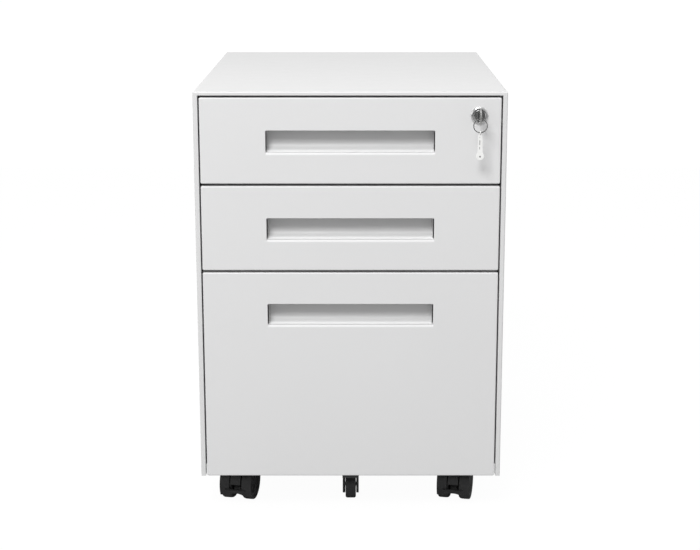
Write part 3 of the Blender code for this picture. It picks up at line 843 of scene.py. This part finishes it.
def tag_shape():
    """Slim pale piece on the ring: eyelet, stem and a rounded end; the stem's groove and the end's hole are painted
    shade, drawn as dark flat pieces.
    """
    top = RING_C.z - 8.55 * MM
    cx, cy = LOCK_X, RING_C.y
    bm = bmesh.new()
    steps = 28
    # eyelet round the ring's wire
    rings = []
    for r, x in ((1.3, -0.35), (1.5, -0.55), (2.3, -0.55), (2.5, -0.3), (2.5, 0.3), (2.3, 0.55), (1.5, 0.55), (1.3, 0.35), (1.3, -0.35)):
        rings.append(
            [
                (
                    cx + x * MM,
                    cy + r * MM * math.cos(2 * math.pi * i / steps),
                    top + r * MM * math.sin(2 * math.pi * i / steps),
                )
                for i in range(steps)
            ]
        )
    skin_rings(bm, rings)
    outline = [(-1.5, -1.9), (1.5, -1.9), (2.5, -3.4), (2.7, -8.0), (3.1, -10.5), (2.7, -13.0), (3.1, -16.0), (2.8, -18.5), (3.3, -21.5), (3.0, -24.0), (3.5, -26.2)]
    for i in range(15):
        a = math.radians(42) - math.radians(264) * i / 14
        outline.append((4.95 * math.cos(a), -30.0 + 4.95 * math.sin(a)))
    outline += [(-3.5, -26.2), (-3.0, -24.0), (-2.8, -16.0), (-2.5, -3.4)]
    solid_outline(
        bm,
        [(u * MM, v * MM) for u, v in outline],
        -0.6 * MM,
        0.6 * MM,
        lambda u, v, t: (cx + u, cy + t, top + v),
        round_by=0.22 * MM,
    )
    piece("ring_tag", bm, TAG, "key_tag", replaces=("key_tag",), slot="pale_tag")
    # the stem's groove broken into short lengths, and the end's hole: dark flat pieces, painted shade
    bm = bmesh.new()
    for a, b in ((-5.2, -6.2), (-9.6, -15.6), (-18.0, -21.2)):
        pts = [(u, v + (a + b) / 2 * MM) for u, v, *_ in rounded_rect(0.42 * MM, abs(b - a) / 2 * MM, 0.3 * MM, 3)]
        solid_outline(bm, pts, -0.615 * MM, -0.4 * MM, lambda u, v, t: (cx - 0.6 * MM + u, cy + t, top + v))
    pts = [(1.15 * MM * math.cos(2 * math.pi * i / 20), 1.15 * MM * math.sin(2 * math.pi * i / 20)) for i in range(20)]
    solid_outline(bm, pts, -0.62 * MM, 0.62 * MM, lambda u, v, t: (cx + u, cy + t, top - 30.5 * MM + v))
    dark = moulded("tag_painted_shade_marks", (0.16, 0.16, 0.16), 0.6)
    piece("tag_painted_shade_marks", bm, dark, "key_tag", slot="pale_tag")


tag_shape()


# ------------------------------------------------------------------ casters
def local(pos, axis_xy):
    """A frame at pos with its u axis along axis_xy in plan, and z up: maps (u, w, z) to world."""
    u = Vector((axis_xy[0], axis_xy[1], 0.0)).normalized()
    w = Vector((-u.y, u.x, 0.0))
    base = Vector(pos)
    return lambda a, b, c: base + u * a + w * b + Vector((0, 0, c))


JOINTS = {j["name"]: j for j in frame["joints"]}


def arc_band(bm, at, cz, inner, outer, half, start, end, steps, lip=0.0):
    """Curved hood over the wheels with rounded side rims; angles from the trailing side over the top."""
    rims = []
    bead = 0.9 * MM
    section = [
        (-half, inner), (half, inner), (half, outer - bead),
        (half - bead * 0.3, outer - bead * 0.3), (half - bead, outer),
        (-half + bead, outer), (-half + bead * 0.3, outer - bead * 0.3), (-half, outer - bead),
    ]
    rings = []
    for i in range(steps + 1):
        a = start + (end - start) * i / steps
        ring = []
        for u, r in section:
            r2 = r + (lip if i >= steps - 1 and r > inner else 0.0)
            ring.append(at(u, r2 * math.cos(a), cz + r2 * math.sin(a)))
        rings.append(ring)
    skin_rings(bm, rings, cap_first=True, cap_last=True)


def caster(label):
    swivel = JOINTS[f"{label}_swivel"]
    spin = JOINTS[f"{label}_wheel_spin"]
    stem = Vector(swivel["pos_m"])
    axle = Vector(spin["pos_m"])
    at = local((axle.x, axle.y, 0.0), spin["axis"][:2])
    back = stem - axle
    back.z = 0
    trail = back.length
    # which way the stem lies along w
    sign = 1.0 if (at(0, 1, 0) - at(0, 0, 0)).dot(back) > 0 else -1.0
    put = lambda u, w, z: at(u, w * sign, z)
    cz = axle.z
    for side, tag in ((-1, "a"), (1, "b")):
        prof = soft(
            [
                (3.4, 6.0), (20.6, 6.0), (23.4, 7.0), (24.7, 8.9), (25.0, 11.4), (25.0, 20.0), (24.5, 21.2),
                (23.2, 21.8), (18.6, 21.8), (17.6, 20.4), (7.4, 19.6), (6.6, 21.2), (3.6, 21.6), (0.0, 21.6),
            ],
            1.2,
        )
        bm = bmesh.new()
        revolve(
            bm,
            [(r * MM, t * MM) for r, t in prof],
            56,
            lambda t, c, s, r: put(side * t, r * c, cz + r * s),
        )
        # shallow ribs on the outer disc
        for k in range(6):
            a = math.pi * 2 * k / 6 + 0.3
            ca, sa = math.cos(a), math.sin(a)
            pts = [(-0.8, 7.6), (0.8, 7.6), (0.8, 17.0), (-0.8, 17.0)]
            solid_outline(
                bm,
                [(p[0] * MM, p[1] * MM) for p in pts],
                18.8 * MM,
                20.7 * MM,
                lambda u, v, t: put(side * t, v * ca - u * sa, cz + v * sa + u * ca),
                round_by=0.3 * MM,
                round_steps=1,
            )
        piece(
            f"{label}_tyre_{tag}",
            bm,
            WHEEL,
            f"{label}_caster_wheels",
            replaces=(f"{label}_caster_wheels",) if side < 0 else (),
            slot="wheel_nylon",
        )
    bm = bmesh.new()
    revolve(
        bm,
        [(0, -20 * MM), (2.8 * MM, -20 * MM), (2.8 * MM, 20 * MM), (0, 20 * MM)],
        24,
        lambda t, c, s, r: put(t, r * c, cz + r * s),
    )
    piece(f"{label}_axle", bm, ZINC, f"{label}_caster_wheels", slot="zinc_steel")

    def sheet(start, end, inner, outer, half, steps=36):
        bm = bmesh.new()
        arc_band(bm, put, cz, inner * MM, outer * MM, half * MM, math.radians(start), math.radians(end), steps)
        return bm

    def slab(points, near, far, rounded=0.0):
        """A flat outline in (u, z) cut through the hood's front, between two depths."""
        bm = bmesh.new()
        solid_outline(
            bm,
            [(u * MM, v * MM) for u, v in points],
            near * MM,
            far * MM,
            lambda u, v, t: put(u, t, v),
            round_by=rounded * MM,
        )
        return bm

    def oblong(half_u, half_v, radius, u0, z0):
        return [(u0 + u, z0 + v) for u, v, *_ in rounded_rect(half_u, half_v, radius, 4)]

    arch = [(-13.6, -5.0), (13.6, -5.0)]
    arch += [(13.6 - 27.2 * i / 24, 15.8 - 5.0 * abs(1 - i / 12) ** 2.2) for i in range(25)]
    # fender, the thicker rim under its window, and the web between the wheels
    web = [(18.9 * math.cos(a), 18.9 * math.sin(a)) for a in [math.pi + math.pi * i / 16 for i in range(17)]]
    web += [(27.0 * math.cos(a), 27.0 * math.sin(a)) for a in [math.radians(14) + math.radians(148) * i / 20 for i in range(21)]]
    web += [(-19.4, 6.0), (-19.2, 3.0)]
    middle = bmesh.new()
    solid_outline(
        middle,
        [(p[0] * MM, cz + p[1] * MM) for p in web],
        -4.7 * MM,
        4.7 * MM,
        lambda u, v, t: put(t, u, v),
        round_by=0.6 * MM,
    )
    bm = worked(
        sheet(12, 208, 26.2, 28.35, 22.3, 46),
        [
            ("UNION", sheet(189.0, 207, 26.9, 29.0, 14.0, 8)),
            ("DIFFERENCE", slab(arch, -34, -20)),
            ("DIFFERENCE", slab(oblong(14.2, 0.75, 0.7, 0, 22.2), -34, -27.0)),
            ("DIFFERENCE", slab(oblong(8.8, 3.4, 0.9, 0, 25.1), -34, -17.2)),
            ("DIFFERENCE", slab(oblong(0.9, 9.8, 0.6, -7.9, 34.2), -34, -16.8)),
            ("DIFFERENCE", slab(oblong(0.9, 9.8, 0.6, 7.9, 34.2), -34, -16.8)),
            ("UNION", middle),
        ],
    )
    piece(
        f"{label}_hood_shell",
        bm,
        HOOD,
        f"{label}_caster_swivel",
        replaces=(f"{label}_caster_hood",),
        slot="caster_nylon",
        bevel=0.35 * MM,
    )
    # round shoulder that carries the stem
    prof = soft([(0, 58.0), (4.9, 58.0), (4.9, 57.0), (12.6, 57.0), (12.9, 55.0), (12.9, 51.6), (9.0, 50.6), (0.0, 50.6)], 0.6)
    bm = bmesh.new()
    revolve(
        bm,
        [(r * MM, t * MM) for r, t in prof],
        48,
        lambda t, c, s, r: put(r * c, trail + r * s, t),
    )
    piece(f"{label}_stem_boss", bm, HOOD, f"{label}_caster_swivel", slot="caster_nylon")
    bm = bmesh.new()
    revolve(
        bm,
        [(0, 60.2 * MM), (4.4 * MM, 60.2 * MM), (4.9 * MM, 59.8 * MM), (4.9 * MM, 56.5 * MM), (0, 56.5 * MM)],
        32,
        lambda t, c, s, r: put(r * c, trail + r * s, t),
    )
    piece(f"{label}_stem_pin", bm, ZINC, f"{label}_caster_swivel", slot="zinc_steel")


for label in ("front_left", "front_right", "rear_left", "rear_right"):
    caster(label)


def tip_caster():
    pos = Vector(JOINTS["anti_tip_wheel_spin"]["pos_m"])
    prof = soft(
        [(0, -7.25), (3.5, -7.25), (4.0, -6.4), (14.5, -6.4), (16.2, -7.25), (18.2, -6.6), (19.0, -5.2), (19.0, 5.2),
         (18.2, 6.6), (16.2, 7.25), (14.5, 6.4), (4.0, 6.4), (3.5, 7.25), (0, 7.25)],
        1.2,
    )
    turned(
        "tip_wheel_tyre",
        [(r * MM, t * MM) for r, t in prof],
        48,
        along_x(pos.x, pos.y, pos.z),
        WHEEL,
        "anti_tip_wheel",
        replaces=("anti_tip_wheel",),
        slot="wheel_nylon",
    )
    turned(
        "tip_wheel_pin",
        [(0, -10.9 * MM), (1.3 * MM, -10.8 * MM), (2.1 * MM, -10.4 * MM), (2.45 * MM, -9.8 * MM), (2.45 * MM, 9.8 * MM),
         (2.1 * MM, 10.4 * MM), (1.3 * MM, 10.8 * MM), (0, 10.9 * MM)],
        24,
        along_x(pos.x, pos.y, pos.z),
        ZINC,
        "anti_tip_wheel",
        slot="zinc_steel",
    )


tip_caster()


def tip_fork():
    """Moulded fork under the file drawer: two cheeks, a back wall and a fixing plate."""
    (x0, y0, z0), (x1, y1, z1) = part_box("anti_tip_bracket")
    axle = Vector(JOINTS["anti_tip_wheel_spin"]["pos_m"])
    half, inner = x1, 7.55 * MM
    cheek = [(axle.y - 13 * MM, z1), (axle.y - 13 * MM, axle.z - 3 * MM)]
    for i in range(1, 16):
        a = math.pi + math.pi * i / 16
        cheek.append((axle.y + 13 * MM * math.cos(a), axle.z - 1.5 * MM + 10.4 * MM * math.sin(a)))
    cheek += [(axle.y + 13.6 * MM, axle.z - 1.0 * MM), (axle.y + 19.0 * MM, 26.6 * MM), (y1, 30.2 * MM), (y1, z1)]

    def plate(t0, t1):
        bm = bmesh.new()
        solid_outline(bm, cheek, t0, t1, lambda u, v, t: (t, u, v), round_by=0.5 * MM, round_steps=3)
        return bm

    def slab(lo, hi):
        bm = bmesh.new()
        solid_outline(
            bm,
            [(lo[0], lo[1]), (hi[0], lo[1]), (hi[0], hi[1]), (lo[0], hi[1])],
            lo[2],
            hi[2],
            lambda u, v, t: (u, v, t),
            round_by=0.3 * MM,
        )
        return bm

    bore = bmesh.new()
    revolve(
        bore,
        [(0, -20 * MM), (2.8 * MM, -20 * MM), (2.8 * MM, 20 * MM), (0, 20 * MM)],
        28,
        along_x(axle.x, axle.y, axle.z),
    )
    bm = worked(
        plate(-half, -inner),
        [
            ("UNION", plate(inner, half)),
            ("UNION", slab((-half + 0.2 * MM, y1 - 2.3 * MM, 28.2 * MM), (half - 0.2 * MM, y1 - 0.1 * MM, z1 - 0.3 * MM))),
            ("UNION", slab((x0 + 0.1 * MM, y0, 49.0 * MM), (x1 - 0.1 * MM, y1 - 0.2 * MM, z1 - 0.02 * MM))),
            ("DIFFERENCE", bore),
        ],
    )
    piece("tip_fork_shell", bm, HOOD, "file_drawer", replaces=("anti_tip_bracket",), slot="caster_nylon", bevel=0.3 * MM)


tip_fork()

# ------------------------------------------------------------------ finishes of the CAD pieces that stay
def dress(material, *names):
    for name in names:
        item = frame["nodes"][name]
        for slot in item.material_slots:
            slot.material = material


dress(BODY, "base_pan")
for key in KEYS:
    dress(INSIDE, f"{key}_front_liner", f"{key}_tray")
    for side in ("left", "right"):
        dress(ZINC, f"{key}_outer_slide_{side}", f"{key}_inner_slide_{side}")
for side in ("left", "right"):
    dress(ZINC, f"file_mid_slide_{side}", f"hanging_file_rail_{side}")
    dress(ZINC, f"{side}_front_upright", f"{side}_rear_upright")
dress(ZINC, "top_rail", *(f"{l}_caster_plate" for l in ("front_left", "front_right", "rear_left", "rear_right")))
dress(DARK_STEEL, "lock_cam")

# ------------------------------------------------------------------ floor, light and camera
bm = bmesh.new()
size = 14.0
rows = []
profile = [(-size, 0.0), (2.4, 0.0)]
for i in range(1, 13):
    a = math.pi / 2 * i / 12
    profile.append((2.4 + 1.6 * math.sin(a), 1.6 * (1 - math.cos(a))))
profile.append((4.0, 9.0))
skin_rings(bm, [[(x, y, z) for x in (-size, size)] for y, z in profile[:2]], closed=False)
floor_mesh = bpy.data.meshes.new("floor")
bm.to_mesh(floor_mesh)
bm.free()
floor = bpy.data.objects.new("floor", floor_mesh)
floor.location.z = -0.0003
bpy.context.scene.collection.objects.link(floor)
n = Nodes("pale_floor")
n.set(Base_Color=(0.40, 0.40, 0.40), Roughness=0.9, Specular_IOR_Level=0.1)
glow = n.put("ShaderNodeEmission", Color=(1.0, 1.0, 1.0, 1.0), Strength=1.075)
path = n.tree.nodes.new("ShaderNodeLightPath")
share = n.tree.nodes.new("ShaderNodeMath")
share.operation = "MULTIPLY"
n.link(path.outputs["Is Camera Ray"], share.inputs[0])
share.inputs[1].default_value = 0.90
blend = n.tree.nodes.new("ShaderNodeMixShader")
n.link(share.outputs[0], blend.inputs[0])
n.link(n.shader.outputs[0], blend.inputs[1])
n.link(glow.outputs[0], blend.inputs[2])
n.link(blend.outputs[0], n.tree.nodes["Material Output"].inputs["Surface"])
floor_mesh.materials.append(n.material)

LIGHTS = dict(world=0.588, key=88.0, over=12.0, left=5.0, right=0.8, strip=0.5)

world = bpy.data.worlds.new("studio")
bpy.context.scene.world = world
world.use_nodes = True
tree = world.node_tree
seen = tree.nodes["Background"]
seen.inputs["Color"].default_value = (1.0, 1.0, 1.0, 1.0)
seen.inputs["Strength"].default_value = 1.02
fill = tree.nodes.new("ShaderNodeBackground")
fill.inputs["Color"].default_value = (1.0, 1.0, 1.0, 1.0)
fill.inputs["Strength"].default_value = LIGHTS["world"]
path = tree.nodes.new("ShaderNodeLightPath")
blend = tree.nodes.new("ShaderNodeMixShader")
tree.links.new(path.outputs["Is Camera Ray"], blend.inputs[0])
tree.links.new(fill.outputs[0], blend.inputs[1])
tree.links.new(seen.outputs[0], blend.inputs[2])
tree.links.new(blend.outputs[0], tree.nodes["World Output"].inputs["Surface"])


def area(name, location, target, size_x, size_y, power):
    light = bpy.data.lights.new(name, "AREA")
    light.shape = "RECTANGLE"
    light.size, light.size_y, light.energy = size_x, size_y, power
    item = bpy.data.objects.new(name, light)
    item.location = location
    item.rotation_mode = "QUATERNION"
    item.rotation_quaternion = (Vector(target) - Vector(location)).to_track_quat("-Z", "Y")
    bpy.context.scene.collection.objects.link(item)
    return item


area("key_softbox", (-0.75, -2.4, 2.9), (0.0, -0.1, 0.35), 1.6, 1.0, LIGHTS["key"])
area("over_softbox", (0.0, -0.5, 3.0), (0.0, 0.0, 0.5), 2.0, 1.4, LIGHTS["over"])
area("left_softbox", (-2.6, -1.3, 1.2), (0.0, 0.0, 0.35), 1.2, 1.6, LIGHTS["left"])
area("right_softbox", (2.6, -1.3, 1.2), (0.0, 0.0, 0.35), 1.2, 1.6, LIGHTS["right"])
area("strip_softbox", (0.2, -1.75, 3.1), (0.0, -0.2, 0.35), 3.0, 0.5, LIGHTS["strip"])

scene = bpy.context.scene
scene.view_settings.view_transform = "Standard"
scene.view_settings.look = "None"
scene.view_settings.exposure = 0.0
scene.view_settings.gamma = 1.0

camera_data = bpy.data.cameras.new("camera")
camera = bpy.data.objects.new("camera", camera_data)
scene.collection.objects.link(camera)
scene.camera = camera
CAM = dict(x=0.0088, d=1.850, h=0.2356, pitch=12.48, f=1468.1, sx=-0.0102, sy=-0.07)
camera_data.sensor_width = 36.0
camera_data.lens = CAM["f"] * 36.0 / 700.0
camera_data.shift_x, camera_data.shift_y = CAM["sx"], CAM["sy"]
camera_data.clip_start, camera_data.clip_end = 0.05, 60.0
camera.location = (CAM["x"], F - CAM["d"], TOP + CAM["h"])
camera.rotation_euler = (math.radians(90.0 - CAM["pitch"]), 0.0, 0.0)
